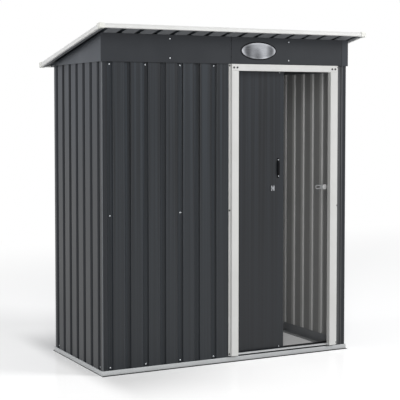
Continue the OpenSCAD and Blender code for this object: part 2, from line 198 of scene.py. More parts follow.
@dataclass(frozen=True)
class GroovePlanes:
    """Where the flat bands of the four walls lie, and how deep the grooves between them are."""

    middle: Vector
    half: Vector
    depth: float

    @classmethod
    def of_walls(cls) -> GroovePlanes:
        """Take the planes from the boxes of the wall sheets.

        Returns:
            The planes of the four walls.
        """
        low = Vector((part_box("left_wall_sheet")[0].x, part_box("front_wall_left_sheet")[0].y))
        high = Vector((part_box("right_wall_sheet")[1].x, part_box("rear_wall_left_sheet")[1].y))
        return cls(*middle_and_half(low, high), GROOVE_DEPTH)

    def share(self, tree: NodeTree, start: float, end: float, most: float) -> Node:
        """Tell how far a point is down a groove.

        Args:
            tree: the material's node tree.
            start: the share of the depth where the rise begins.
            end: the share of the depth where it ends.
            most: the value on a groove's floor.

        Returns:
            Zero on the flat bands, and the given value on a groove's floor.
        """
        return add_node(tree, "ShaderNodeMapRange", {
            "Value": self.inward(tree, WallPlane.NEARER), "From Min": self.depth * start,
            "From Max": self.depth * end, "To Max": most})

    def corner(self, tree: NodeTree, start: float, end: float) -> Node:
        """Tell the bend at a corner of the shed from the rest of a sheet.

        Args:
            tree: the material's node tree.
            start: how far from both walls' planes the fall begins.
            end: how far from them it ends.

        Returns:
            One on the bend, and zero away from it.
        """
        return add_node(tree, "ShaderNodeMapRange", {
            "Value": self.inward(tree, WallPlane.FARTHER), "From Min": start, "From Max": end, "To Min": 1.0,
            "To Max": 0.0})

    def inward(self, tree: NodeTree, plane: WallPlane) -> Node:
        """Measure how far a point lies inside a wall's plane.

        Args:
            tree: the material's node tree.
            plane: which of the two planes beside the point is meant.

        Returns:
            The distance in metres.
        """
        at = add_node(tree, "ShaderNodeSeparateXYZ", {"Vector": object_place(tree)})
        inside = []
        for axis in (Axis.X.value, Axis.Y.value):
            off = add_node(tree, "ShaderNodeMath", {0: at.outputs[axis], 1: self.middle[axis]},
                           operation="SUBTRACT")
            far = add_node(tree, "ShaderNodeMath", {0: off}, operation="ABSOLUTE")
            inside.append(add_node(tree, "ShaderNodeMath", {0: self.half[axis], 1: far}, operation="SUBTRACT"))
        return add_node(tree, "ShaderNodeMath", {0: inside[0], 1: inside[1]}, operation=plane.value)


@dataclass(frozen=True)
class Finish:
    """A finish with its own material."""

    name: str

    def make(self) -> Material:
        """Build the material.

        Returns:
            The material.
        """
        material = bpy.data.materials.new(self.name)
        material.use_nodes = True
        tree = material.node_tree
        tree.nodes.clear()
        add_node(tree, "ShaderNodeOutputMaterial", {"Surface": self.surface(tree)})
        return material

    def surface(self, tree: NodeTree) -> Node:
        """Add the nodes of the surface.

        Args:
            tree: the material's node tree.

        Returns:
            The shader of the surface.
        """
        raise NotImplementedError


@dataclass(frozen=True)
class RolledCoat(Finish):
    """Satin polyester coat on cold-rolled steel sheet.

    Coil coating gives a dark, even colour with a soft sheen. The rolls leave faint lines along the sheet,
    which show as streaks where the sheen meets them. Real streaks are fine. They are drawn 9 to 16 mm wide, so
    that they show. The floors of the grooves are given a rougher coat with less sheen, a painted shade that
    makes them look darker than the flat bands between them. The primer inside is painted paler along the
    ridges, and the sharp bend at a corner of the shed is painted as a pale line: both are painted highlights.
    """

    colour: str
    run: Axis
    roughness: float = 0.34
    gloss_swing: tuple[float, float] = (-0.03, 0.04)
    line_mm: float = 9.0
    line_depth_mm: float = 0.1
    run_mm: float = 2857.0
    sheen_mm: float = 454.5
    grit_mm: float = 1.6
    grit_share: float = 0.08
    streak_range: tuple[float, float] = (0.4, 0.6)
    tint: float = 0.45
    faint: float = 0.35
    faint_z: tuple[float, float] = (500 * MM, 1200 * MM)
    shine: float = 0.5
    inside: str = ""
    # painted highlight: the paler primer along the inner ridges
    ridge_highlight: str = ""
    ridge_highlight_rise: tuple[float, float] = (0.3, 0.6)
    # painted highlight: the pale line on the bend at a corner of the shed
    bend: str = ""
    bend_highlight_reach: tuple[float, float] = (3.5 * MM, 5.0 * MM)
    walls: Axis = Axis.Y
    side_weight: float = 40.0
    # painted shade: the share of the pitch under each groove floor where the roof's underside keeps the dark
    # coat
    roof_shade_band: float = 0.14
    grooves: GroovePlanes | None = None
    # painted shade: how far down a groove the rougher, less shiny coat begins and ends, how much of it, and
    # how rough and shiny it is
    groove_shade_rise: tuple[float, float] = (0.55, 0.9)
    groove_shade_share: float = 0.45
    groove_shade_roughness: float = 0.6
    groove_shade_shine: float = 0.14

    def surface(self, tree: NodeTree) -> Node:
        """Add the nodes of the surface.

        Args:
            tree: the material's node tree.

        Returns:
            The shader of the surface.
        """
        lines = add_node(tree, "ShaderNodeTexNoise", {
            "Vector": lined(tree, self.run, self.run_mm, self.line_mm), "Scale": 1.0, "Detail": 3.0,
            "Roughness": 0.62})
        sheen = add_node(tree, "ShaderNodeTexNoise", {
            "Vector": stretched(tree, self.sheen_mm, self.sheen_mm, 2 * self.sheen_mm), "Scale": 1.0,
            "Detail": 2.0})
        gloss = uneven(tree, sheen, self.roughness, self.gloss_swing)
        grit = add_node(tree, "ShaderNodeTexNoise", {
            "Vector": stretched(tree, self.grit_mm, self.grit_mm, self.grit_mm), "Scale": 1.0, "Detail": 1.0})
        relief = add_node(tree, "ShaderNodeMath", {0: grit, 1: self.grit_share, 2: lines},
                          operation="MULTIPLY_ADD")
        bump = add_node(tree, "ShaderNodeBump", {"Height": relief, "Strength": 1.0,
                                                 "Distance": self.line_depth_mm * MM})
        colour = self.both_faces(tree, self.streaked(tree, lines))
        surface = add_node(tree, "ShaderNodeBsdfPrincipled", {
            "Base Color": colour, "Roughness": gloss, "IOR": 1.45, "Specular IOR Level": self.shine,
            "Normal": bump})
        # painted shade: the groove floors blend to a rougher, less shiny coat, so that they look darker
        if self.grooves:
            dull = add_node(tree, "ShaderNodeBsdfPrincipled", {
                "Base Color": colour, "Roughness": self.groove_shade_roughness, "Specular IOR Level": self.groove_shade_shine,
                "Normal": bump})
            down = self.grooves.share(tree, *self.groove_shade_rise, self.groove_shade_share)
            surface = add_node(tree, "ShaderNodeMixShader", {0: down, 1: surface, 2: dull})
        return surface

    def streaked(self, tree: NodeTree, lines: Node) -> Node:
        """Colour the streaks, which fade towards the ground, where less of the bright studio is mirrored.

        Args:
            tree: the material's node tree.
            lines: the pattern of the rolled lines.

        Returns:
            The coat's colour.
        """
        streak = add_node(tree, "ShaderNodeMapRange", {
            "Value": lines, "From Min": self.streak_range[0], "From Max": self.streak_range[1]})
        at = add_node(tree, "ShaderNodeSeparateXYZ", {"Vector": object_place(tree)})
        rise = add_node(tree, "ShaderNodeMapRange", {
            "Value": at.outputs["Z"], "From Min": self.faint_z[0], "From Max": self.faint_z[1],
            "To Min": self.faint})
        centred = add_node(tree, "ShaderNodeMath", {0: streak, 1: 0.5}, operation="SUBTRACT")
        swing = add_node(tree, "ShaderNodeMath", {0: centred, 1: rise, 2: 0.5}, operation="MULTIPLY_ADD")
        return add_node(tree, "ShaderNodeMix", {
            "Factor": swing, "A": shaded(self.colour, 1 - self.tint), "B": shaded(self.colour, 1 + self.tint)},
            data_type="RGBA")

    def both_faces(self, tree: NodeTree, coat: Node) -> Node:
        """Add the painted highlights on the corner bend and the inner ridges, and the primer, to the coat.

        Args:
            tree: the material's node tree.
            coat: the colour of the outer coat.

        Returns:
            The colour of both faces.
        """
        # painted highlight: a pale line on the bend at a corner of the shed
        if self.bend:
            coat = add_node(tree, "ShaderNodeMix", {
                "Factor": self.grooves.corner(tree, *self.bend_highlight_reach), "A": coat, "B": linear(self.bend)},
                data_type="RGBA")
        if not self.inside:
            return coat
        primer = linear(self.inside)
        # painted highlight: the primer turns paler along the inner ridges
        if self.ridge_highlight:
            down = self.grooves.share(tree, *self.ridge_highlight_rise, 1.0)
            primer = add_node(tree, "ShaderNodeMix", {"Factor": down, "A": primer, "B": linear(self.ridge_highlight)},
                              data_type="RGBA")
        return add_node(tree, "ShaderNodeMix", {"Factor": self.outward(tree), "A": primer, "B": coat},
                        data_type="RGBA")

    def outward(self, tree: NodeTree) -> Node:
        """Tell the outer face of a sheet from its inner one, which has a thin grey primer only.

        Args:
            tree: the material's node tree.

        Returns:
            One where the coat is, and zero where the primer shows.
        """
        place = add_node(tree, "ShaderNodeTexCoord")
        at = add_node(tree, "ShaderNodeSeparateXYZ", {"Vector": place.outputs["Object"]})
        way = add_node(tree, "ShaderNodeSeparateXYZ", {"Vector": place.outputs["Normal"]})
        if self.walls is Axis.Z:
            return self.roof_coat_and_groove_shade(tree, at, way)
        out = add_node(tree, "ShaderNodeMath", {0: at.outputs["Y"], 1: way.outputs["Y"]}, operation="MULTIPLY")
        if self.walls is Axis.X:
            # the slopes of a side wall's grooves face along Y as well, so X counts for far more
            out_x = add_node(tree, "ShaderNodeMath", {0: at.outputs["X"], 1: way.outputs["X"]},
                             operation="MULTIPLY")
            out = add_node(tree, "ShaderNodeMath", {0: out_x, 1: self.side_weight, 2: out},
                           operation="MULTIPLY_ADD")
        return add_node(tree, "ShaderNodeMath", {0: out, 1: 0.0}, operation="GREATER_THAN")

    def roof_coat_and_groove_shade(self, tree: NodeTree, at: Node, way: Node) -> Node:
        """Tell where the roof has its coat: on top, and under the groove floors as painted shade.

        Args:
            tree: the material's node tree.
            at: the place.
            way: the direction that the face looks in.

        Returns:
            One where the coat or the painted shade under the grooves is, and zero under the flat bands.
        """
        upper = add_node(tree, "ShaderNodeMath", {0: way.outputs["Z"], 1: 0.0}, operation="GREATER_THAN")
        turn = add_node(tree, "ShaderNodeMath", {0: at.outputs["X"], 1: 1 / PITCH, 2: 0.5},
                        operation="MULTIPLY_ADD")
        away = add_node(tree, "ShaderNodeMath", {0: turn, 1: 0.5}, operation="PINGPONG")
        groove = add_node(tree, "ShaderNodeMath", {0: away, 1: self.roof_shade_band}, operation="LESS_THAN")
        return add_node(tree, "ShaderNodeMath", {0: upper, 1: groove}, operation="MAXIMUM")


@dataclass(frozen=True)
class SatinCoat(Finish):
    """Satin powder coat or lacquer on folded and pressed steel.

    A baked coat flows to a smooth skin with a slight orange peel, so edges and broad faces carry a soft sheen,
    and the colour drifts a little from batch to batch and where dust settles low down. A coat may take a
    darker colour on the faces that look to the front, which is painted shade.
    """

    colour: str
    worn: str
    front: str = ""
    front_shade_tilt: float = -0.7
    wear_range: tuple[float, float] = (0.42, 0.78)
    roughness: float = 0.42
    gloss_swing: tuple[float, float] = (-0.04, 0.06)
    peel_mm: float = 2.5
    peel_depth_mm: float = 0.02
    drift_mm: tuple[float, float, float] = (160.0, 160.0, 266.7)

    def surface(self, tree: NodeTree) -> Node:
        """Add the nodes of the surface.

        Args:
            tree: the material's node tree.

        Returns:
            The shader of the surface.
        """
        drift = add_node(tree, "ShaderNodeTexNoise", {
            "Vector": stretched(tree, *self.drift_mm), "Scale": 1.0, "Detail": 5.0, "Roughness": 0.6})
        worn = add_node(tree, "ShaderNodeMapRange", {
            "Value": drift, "From Min": self.wear_range[0], "From Max": self.wear_range[1]})
        colour = add_node(tree, "ShaderNodeMix", {
            "Factor": worn, "A": linear(self.colour), "B": linear(self.worn)}, data_type="RGBA")
        # painted shade: faces that look to the front take a darker colour
        if self.front:
            place = add_node(tree, "ShaderNodeTexCoord")
            way = add_node(tree, "ShaderNodeSeparateXYZ", {"Vector": place.outputs["Normal"]})
            shaded_front = add_node(tree, "ShaderNodeMath", {0: way.outputs["Y"], 1: self.front_shade_tilt},
                             operation="LESS_THAN")
            colour = add_node(tree, "ShaderNodeMix", {"Factor": shaded_front, "A": colour, "B": linear(self.front)},
                              data_type="RGBA")
        gloss = uneven(tree, drift, self.roughness, self.gloss_swing)
        peel = add_node(tree, "ShaderNodeTexNoise", {
            "Vector": stretched(tree, self.peel_mm, self.peel_mm, self.peel_mm), "Scale": 1.0, "Detail": 1.5})
        bump = add_node(tree, "ShaderNodeBump", {"Height": peel, "Strength": 1.0,
                                                 "Distance": self.peel_depth_mm * MM})
        return add_node(tree, "ShaderNodeBsdfPrincipled", {
            "Base Color": colour, "Roughness": gloss, "IOR": 1.45, "Normal": bump})


@dataclass(frozen=True)
class Galvanised(Finish):
    """Hot-dip galvanised steel.

    The zinc freezes in flat crystals 8 to 15 mm across, so the grey metal is broken into cells that catch the
    light differently.
    """

    light: str
    dark: str
    cell_mm: float = 11.0
    roughness: float = 0.46
    gloss_swing: tuple[float, float] = (-0.08, 0.1)

    def surface(self, tree: NodeTree) -> Node:
        """Add the nodes of the surface.

        Args:
            tree: the material's node tree.

        Returns:
            The shader of the surface.
        """
        place = stretched(tree, self.cell_mm, self.cell_mm, self.cell_mm)
        wobble = add_node(tree, "ShaderNodeTexNoise", {"Vector": place, "Scale": 1.4, "Detail": 2.0})
        bent = add_node(tree, "ShaderNodeVectorMath", {
            0: wobble.outputs["Color"], 1: (0.5, 0.5, 0.5), 2: place}, operation="MULTIPLY_ADD")
        cells = add_node(tree, "ShaderNodeTexVoronoi", {"Vector": bent, "Scale": 1.0})
        grey = add_node(tree, "ShaderNodeSeparateColor", {"Color": cells.outputs["Color"]})
        zinc = add_node(tree, "ShaderNodeMix", {
            "Factor": grey.outputs["Red"], "A": linear(self.dark), "B": linear(self.light)}, data_type="RGBA")
        gloss = add_node(tree, "ShaderNodeMapRange", {
            "Value": grey.outputs["Green"], "To Min": self.roughness + self.gloss_swing[0],
            "To Max": self.roughness + self.gloss_swing[1]})
        return add_node(tree, "ShaderNodeBsdfPrincipled", {
            "Base Color": zinc, "Metallic": 0.75, "Roughness": gloss})


@dataclass(frozen=True)
class BrushedMetal(Finish):
    """Brushed aluminium with fine marks along one direction, stamped to an oval.

    Belt brushing leaves lines a few tenths of a millimetre apart. They are drawn 1.5 mm apart, so that they
    show, and they stretch the reflections across the marks. Broad bands about 60 mm across shift the tone
    between dark and pale as painted reflections, and a painted highlight runs round the edge of the oval.
    """

    light: str
    dark: str
    run: Axis
    middle: Vector
    half: Vector
    line_mm: float = 1.5
    mark_mm: float = 60.0
    mark_depth_mm: float = 0.02
    mark_share: float = 0.3
    reflection_band_mm: tuple[float, float, float] = (58.8, 58.8, 111.1)
    reflection_band_range: tuple[float, float] = (0.32, 0.68)
    reflection_band_share: float = 0.62
    roughness: float = 0.3
    gloss_swing: tuple[float, float] = (-0.06, 0.08)
    rim_highlight_reach: tuple[float, float] = (0.8, 0.97)
    rim_highlight_share: float = 0.9

    def surface(self, tree: NodeTree) -> Node:
        """Add the nodes of the surface.

        Args:
            tree: the material's node tree.

        Returns:
            The shader of the surface.
        """
        marks = add_node(tree, "ShaderNodeTexNoise", {
            "Vector": lined(tree, self.run, self.mark_mm, self.line_mm), "Scale": 1.0, "Detail": 3.0,
            "Roughness": 0.7})
        # painted reflection: broad bands that shift the metal between dark and pale
        reflection_bands = add_node(tree, "ShaderNodeTexNoise", {
            "Vector": stretched(tree, *self.reflection_band_mm), "Scale": 1.0, "Detail": 0.0})
        tone = add_node(tree, "ShaderNodeMapRange", {
            "Value": reflection_bands, "From Min": self.reflection_band_range[0], "From Max": self.reflection_band_range[1],
            "To Max": self.reflection_band_share})
        both = add_node(tree, "ShaderNodeMath", {0: marks, 1: self.mark_share, 2: tone},
                        operation="MULTIPLY_ADD", use_clamp=True)
        # the metal's colour carries the brushed marks, the painted reflections and the painted highlight at
        # the edge
        metal = add_node(tree, "ShaderNodeMix", {
            "Factor": self.rim(tree, both), "A": linear(self.dark), "B": linear(self.light)}, data_type="RGBA")
        gloss = uneven(tree, marks, self.roughness, self.gloss_swing)
        bump = add_node(tree, "ShaderNodeBump", {"Height": marks, "Strength": 1.0,
                                                 "Distance": self.mark_depth_mm * MM})
        return add_node(tree, "ShaderNodeBsdfPrincipled", {
            "Base Color": metal, "Metallic": 1.0, "Roughness": gloss, "Normal": bump})

    def rim(self, tree: NodeTree, tone: Node) -> Node:
        """Make the tone paler towards the edge of the oval, as a painted highlight on its edge.

        Args:
            tree: the material's node tree.
            tone: the tone of the brushed middle.

        Returns:
            The tone with the pale edge.
        """
        centred = add_node(tree, "ShaderNodeVectorMath", {
            0: object_place(tree), 1: (self.middle.x, 0.0, self.middle.z)}, operation="SUBTRACT")
        rounded = add_node(tree, "ShaderNodeVectorMath", {
            0: centred, 1: (1 / self.half.x, 0.0, 1 / self.half.z)}, operation="MULTIPLY")
        reach = add_node(tree, "ShaderNodeVectorMath", {0: rounded}, operation="LENGTH")
        edge = add_node(tree, "ShaderNodeMapRange", {
            "Value": reach, "From Min": self.rim_highlight_reach[0], "From Max": self.rim_highlight_reach[1],
            "To Max": self.rim_highlight_share})
        return add_node(tree, "ShaderNodeMath", {0: edge, 1: tone, 2: tone}, operation="MULTIPLY_ADD",
                        use_clamp=True)


@dataclass(frozen=True)
class MouldedPlastic(Finish):
    """Injection-moulded plastic or rubber with a spark-eroded grain.

    The mould's fine grain scatters the sheen, and rubbed spots shine a little more. The grain is drawn 1.2 mm
    across, coarser than a real one, so that it shows.
    """

    colour: str
    roughness: float = 0.5
    gloss_swing: tuple[float, float] = (-0.08, 0.08)
    grain_mm: float = 1.2
    grain_depth_mm: float = 0.05
    rub_mm: float = 38.5
    rub_tint: float = 1.18
    shine: float = 0.5

    def surface(self, tree: NodeTree) -> Node:
        """Add the nodes of the surface.

        Args:
            tree: the material's node tree.

        Returns:
            The shader of the surface.
        """
        grain = add_node(tree, "ShaderNodeTexNoise", {
            "Vector": stretched(tree, self.grain_mm, self.grain_mm, self.grain_mm), "Scale": 1.0,
            "Detail": 2.0})
        rubbed = add_node(tree, "ShaderNodeTexNoise", {
            "Vector": stretched(tree, self.rub_mm, self.rub_mm, self.rub_mm), "Scale": 1.0, "Detail": 3.0})
        tone = add_node(tree, "ShaderNodeMix", {
            "Factor": rubbed, "A": linear(self.colour), "B": shaded(self.colour, self.rub_tint)},
            data_type="RGBA")
        gloss = uneven(tree, rubbed, self.roughness, self.gloss_swing)
        bump = add_node(tree, "ShaderNodeBump", {"Height": grain, "Strength": 1.0,
                                                 "Distance": self.grain_depth_mm * MM})
        return add_node(tree, "ShaderNodeBsdfPrincipled", {
            "Base Color": tone, "Roughness": gloss, "IOR": 1.49, "Specular IOR Level": self.shine,
            "Normal": bump})


@dataclass(frozen=True)
class PlatedSteel(Finish):
    """Zinc-plated, blackened or cast metal, bright and slightly clouded.

    Plating follows the turned or stamped steel under it, and handling leaves cloudy spots that dull the shine.
    """

    light: str
    dark: str
    roughness: float = 0.28
    gloss_swing: tuple[float, float] = (0.1, -0.06)
    cloud_mm: float = 4.0

    def surface(self, tree: NodeTree) -> Node:
        """Add the nodes of the surface.

        Args:
            tree: the material's node tree.

        Returns:
            The shader of the surface.
        """
        clouds = add_node(tree, "ShaderNodeTexNoise", {
            "Vector": stretched(tree, self.cloud_mm, self.cloud_mm, self.cloud_mm), "Scale": 1.0,
            "Detail": 3.0})
        metal = add_node(tree, "ShaderNodeMix", {
            "Factor": clouds, "A": linear(self.dark), "B": linear(self.light)}, data_type="RGBA")
        gloss = uneven(tree, clouds, self.roughness, self.gloss_swing)
        return add_node(tree, "ShaderNodeBsdfPrincipled", {
            "Base Color": metal, "Metallic": 1.0, "Roughness": gloss})


class Finishes:
    """All the materials of the shed, made once."""

    def __init__(self) -> None:
        """Make each material from its finish."""
        anthracite = "#1F2327"
        primer, ridge_highlight = "#A4A4A3", "#CACAC8"
        planes = GroovePlanes.of_walls()
        plate = middle_and_half(*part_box("oval_plate"))
        # painted light: this coat has painted shade on its groove floors and painted highlights on its inner
        # ridges
        self.wall = RolledCoat("anthracite_polyester_on_rolled_sheet_front", anthracite, Axis.Z, line_mm=11.0,
                               tint=0.7, inside=primer, ridge_highlight=ridge_highlight, grooves=planes).make()
        # painted highlight: the narrow sheet beside the door has a paler copy of the anthracite, for the light
        # on its grooves
        self.strip = RolledCoat("anthracite_polyester_on_rolled_sheet_narrow_painted_paler", "#4B4C4E", Axis.Z,
                                inside=primer).make()
        # painted shade: the side walls have a darker, less shiny copy of the anthracite, besides the painted
        # highlights on their ridges and corner bends and the painted shade on their groove floors
        self.side = RolledCoat("anthracite_polyester_on_rolled_sheet_side_painted_darker", "#1A1D21", Axis.Z, shine=0.42,
                               inside=primer, ridge_highlight=ridge_highlight, bend="#66696C", walls=Axis.X, grooves=planes).make()
        # painted shade: under the roof the dark coat stays under the groove floors, for the shade between the
        # ribs
        self.roof = RolledCoat("matt_anthracite_polyester_on_rolled_sheet", anthracite, Axis.Y, roughness=0.6,
                               shine=0.2, inside="#7A7C7F", walls=Axis.Z).make()
        self.door = RolledCoat("anthracite_polyester_on_door_sheet", "#15181C", Axis.Z, line_mm=16.0,
                               tint=0.65).make()
        self.fascia = SatinCoat("anthracite_powder_coat_on_flat_sheet", "#1A1D21", "#1F2226",
                                roughness=0.34).make()
        self.gable = SatinCoat("anthracite_powder_coat_on_side_plate", "#282C31", "#2E3237",
                               roughness=0.34).make()
        # painted shade: the left side plate has a darker colour on its front flange
        self.gable_left = SatinCoat("anthracite_powder_coat_on_left_plate_painted_shade", "#282C31", "#2E3237", "#1C1F23",
                                    roughness=0.34).make()
        self.white = SatinCoat("off_white_powder_coat_on_folded_steel", "#DDDDDB", "#D5D5D2").make()
        self.rail = SatinCoat("off_white_powder_coat_on_base_rails", "#CBCDCE", "#C1C3C4").make()
        self.edge = SatinCoat("white_powder_coat_on_front_edge", "#E8E8E6", "#E0E0DD").make()
        # painted highlight: the side and rear roof trims have a paler copy of the white than the front trim
        self.trim = SatinCoat("white_powder_coat_on_roof_edge_painted_paler", "#F1F1EF", "#E9E9E6").make()
        self.grey = SatinCoat("mid_grey_primer_on_folded_steel", "#8C8E91", "#969899").make()
        self.track = SatinCoat("charcoal_powder_coat_on_folded_steel", "#232426", "#2C2D2F").make()
        self.keeper = SatinCoat("silver_lacquer_on_pressed_steel", "#B6B7B8", "#A6A7A8", roughness=0.36).make()
        self.bolt = SatinCoat("silver_lacquer_on_bolt_head", "#F3F3F2", "#EAEAE9", roughness=0.36).make()
        self.zinc = Galvanised("galvanised_steel_spangled", "#C9CCCC", "#A2A7A9").make()
        # painted reflection: the plate's metal runs from dark to pale in broad bands, with a painted highlight
        # at its edge
        self.plate = BrushedMetal("brushed_aluminium_stamped", "#BEBEBF", "#323334", Axis.X, *plate).make()
        self.black = MouldedPlastic("black_abs_moulded", "#08080A", roughness=0.62, shine=0.12).make()
        self.cap = MouldedPlastic("off_white_polypropylene_moulded", "#E4E4DE", roughness=0.45).make()
        self.shoe = MouldedPlastic("grey_nylon_moulded", "#7B7C7C", roughness=0.4).make()
        self.washer = MouldedPlastic("black_epdm_moulded", "#1B1C1D", roughness=0.6).make()
        self.bright = PlatedSteel("zinc_die_cast_tumbled", "#B4B5B6", "#88898B", roughness=0.36).make()
        self.screw = PlatedSteel("zinc_plated_steel_screw", "#CFD1D2", "#9EA1A4").make()
        self.dark_screw = PlatedSteel("blackened_steel_screw", "#4A4B4D", "#2A2B2C", roughness=0.4).make()


# Pieces made by hand


def deselect() -> None:
    """Leave edit mode and drop every selection."""
    if bpy.context.object and bpy.context.object.mode != "OBJECT":
        bpy.ops.object.mode_set(mode="OBJECT")
    bpy.ops.object.select_all(action="DESELECT")


def pick_faces(piece: Object, keep: Callable[[MeshPolygon], bool]) -> None:
    """Select the faces of a piece that pass a test, and enter edit mode.

    Args:
        piece: the mesh object, which is the active one.
        keep: a test on a face.
    """
    bpy.ops.object.mode_set(mode="EDIT")
    bpy.ops.mesh.select_mode(type="FACE")
    bpy.ops.mesh.select_all(action="DESELECT")
    bpy.ops.object.mode_set(mode="OBJECT")
    for face in piece.data.polygons:
        face.select = bool(keep(face))
    bpy.ops.object.mode_set(mode="EDIT")


def aim(out: Vector) -> Matrix:
    """Turn what is modelled along +Z to point another way."""
    return Vector((0, 0, 1)).rotation_difference(out).to_matrix().to_4x4()


def paint(piece: Object, material: Material) -> None:
    """Give a piece one material."""
    piece.data.materials.clear()
    piece.data.materials.append(material)


def add_round(corners: int, diameter: float, base: float, height: float, edge: float = 0.0,
              segments: int = 2) -> Object:
    """Model a short cylinder that stands along +Z, with its upper edge rounded.

    Args:
        corners: the number of its corners.
        diameter: its diameter over the corners.
        base: the height that it stands at.
        height: its own height.
        edge: how far the rounding reaches, or zero for a plain edge.
        segments: the steps of the rounding.

    Returns:
        The cylinder.
    """
    deselect()
    bpy.ops.mesh.primitive_cylinder_add(vertices=corners, radius=diameter / 2, depth=height,
                                        location=(0, 0, base + height / 2))
    piece = bpy.context.object
    bpy.ops.object.transform_apply(location=True, rotation=True, scale=True)
    if edge:
        pick_faces(piece, lambda face: face.normal.z > 0.9)
        bpy.ops.mesh.bevel(offset=edge, segments=segments, profile=0.5, affect="EDGES")
        bpy.ops.object.mode_set(mode="OBJECT")
    return piece


def join(name: str, first: Object, second: Object) -> Object:
    """Join two pieces to one, with its round faces smooth.

    Args:
        name: the name of the joined piece.
        first: the piece that takes in the other.
        second: the other piece.

    Returns:
        The joined piece.
    """
    deselect()
    first.select_set(True)
    second.select_set(True)
    bpy.context.view_layer.objects.active = first
    bpy.ops.object.join()
    bpy.ops.object.shade_smooth_by_angle(angle=SMOOTH_ANGLE)
    first.name = name
    return first


@dataclass
class Fastener:
    """A small fastener, modelled once along +Z and copied to its places."""

    turn: float = 0.7
    count: int = 0
    model: Object | None = None

    def build(self, finishes: Finishes) -> None:
        """Model the fastener.

        Args:
            finishes: the shed's materials.
        """
        raise NotImplementedError

    def place(self, where: Vector, out: Vector, body: Body, name: str, size: float = 1.0,
              head: Material | None = None) -> Object:
        """Copy the model to a place on the shed.

        Args:
            where: the point on the surface under it.
            out: the direction that it points in.
            body: the body that it rides on.
            name: the first part of its name.
            size: its size against the model's.
            head: the head's material, where it isn't bright.

        Returns:
            The copy.
        """
        self.count += 1
        copy = bpy.data.objects.new(f"{name}_{self.count:03d}", self.model.data.copy())
        bpy.context.scene.collection.objects.link(copy)
        spin = Matrix.Rotation(self.turn * self.count, 4, "Z")
        copy.data.transform(Matrix.Translation(where) @ aim(out) @ spin @ Matrix.Scale(size, 4))
        if head is not None:
            copy.data.materials[0] = head
        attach(copy, body.value)
        LOG.info("placed %s", copy.name)
        return copy

    def finish(self) -> None:
        """Remove the model, once all its copies are placed."""
        bpy.data.objects.remove(self.model)


@dataclass
class Screw(Fastener):
    """A pan-head screw on a washer, with its head along +Z."""

    head_d: float = 8.5 * MM
    head_h: float = 2.8 * MM
    head_edge: float = 1.54 * MM
    washer_d: float = 12.0 * MM
    washer_h: float = 1.4 * MM
    washer_edge: float = 0.84 * MM
    recess: float = 1.1 * MM
    recess_w: float = 1.1 * MM
    recess_reach: float = 2.5 * MM

    def build(self, finishes: Finishes) -> None:
        """Model the head with its cross recess, and the washer under it.

        Args:
            finishes: the shed's materials.
        """
        head = add_round(24, self.head_d, self.washer_h, self.head_h, self.head_edge, segments=4)
        cutter = self.cross(self.washer_h + self.head_h)
        cut = head.modifiers.new("recess", "BOOLEAN")
        cut.operation = "DIFFERENCE"
        cut.object = cutter
        cut.solver = "EXACT"
        bpy.context.view_layer.objects.active = head
        bpy.ops.object.modifier_apply(modifier="recess")
        bpy.data.objects.remove(cutter)
        paint(head, finishes.screw)
        washer = add_round(24, self.washer_d, 0.0, self.washer_h, self.washer_edge)
        paint(washer, finishes.washer)
        self.model = join("screw_model", head, washer)

    def cross(self, top: float) -> Object:
        """Make the cross-shaped cutter for the recess.

        Args:
            top: the height of the head's crown.

        Returns:
            The cutter.
        """
        deselect()
        bpy.ops.mesh.primitive_cube_add(size=1, location=(0, 0, top))
        cutter = bpy.context.object
        cutter.scale = (self.recess_w, self.recess_w, 2 * self.recess)
        bpy.ops.object.transform_apply(location=True, rotation=True, scale=True)
        pick_faces(cutter, lambda face: abs(face.normal.z) < 0.1)
        arm = self.recess_reach - self.recess_w / 2
        bpy.ops.mesh.extrude_faces_move(TRANSFORM_OT_shrink_fatten={"value": arm})
        bpy.ops.object.mode_set(mode="OBJECT")
        return cutter


@dataclass
class Nut(Fastener):
    """A hexagonal nut on the end of a screw, with the end along +Z."""

    nut_d: float = 12.0 * MM
    nut_h: float = 4.5 * MM
    nut_edge: float = 0.9 * MM
    end_d: float = 5.0 * MM
    end_h: float = 8.0 * MM

    def build(self, finishes: Finishes) -> None:
        """Model the nut with rounded corners, and the end of the screw in it.

        Args:
            finishes: the shed's materials.
        """
        nut = add_round(6, self.nut_d, 0.0, self.nut_h, self.nut_edge)
        self.model = join("nut_model", nut, add_round(16, self.end_d, 0.0, self.end_h))
        paint(self.model, finishes.screw)


# Sub-assemblies


@dataclass
class Shed:
    """What the sub-assemblies share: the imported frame, the materials, the screw and the nut."""

    nodes: dict[str, Object]
    finishes: Finishes
    screw: Screw
    nut: Nut

    def dress(self, material: Material, *names: str) -> None:
        """Give CAD nodes a material.

        Args:
            material: the material.
            *names: the nodes' names.
        """
        for name in names:
            piece = self.nodes[name]
            if not piece.material_slots:
                piece.data.materials.append(material)
            for slot in piece.material_slots:
                slot.material = material
            LOG.info("dressed %s in %s", name, material.name)


@dataclass
class SubAssembly:
    """A group of the shed's pieces."""

    shed: Shed

    def dress(self) -> None:
        """Give the group's CAD nodes their finishes."""
        raise NotImplementedError

    def build(self) -> None:
        """Add the group's small pieces, where it has any."""


@dataclass
class BaseFrame(SubAssembly):
    """The pale rails on the ground, and the angles and the lower track inside them."""

    def dress(self) -> None:
        """Give the rails, the angles and the track their finishes."""
        finishes = self.shed.finishes
        self.shed.dress(finishes.rail, "base_rail_front", "base_rail_rear", "base_rail_left",
                        "base_rail_right", "door_sill")
        self.shed.dress(finishes.grey, "floor_angle_rear", "floor_angle_left", "floor_angle_right")
        self.shed.dress(finishes.track, "door_track_bottom")


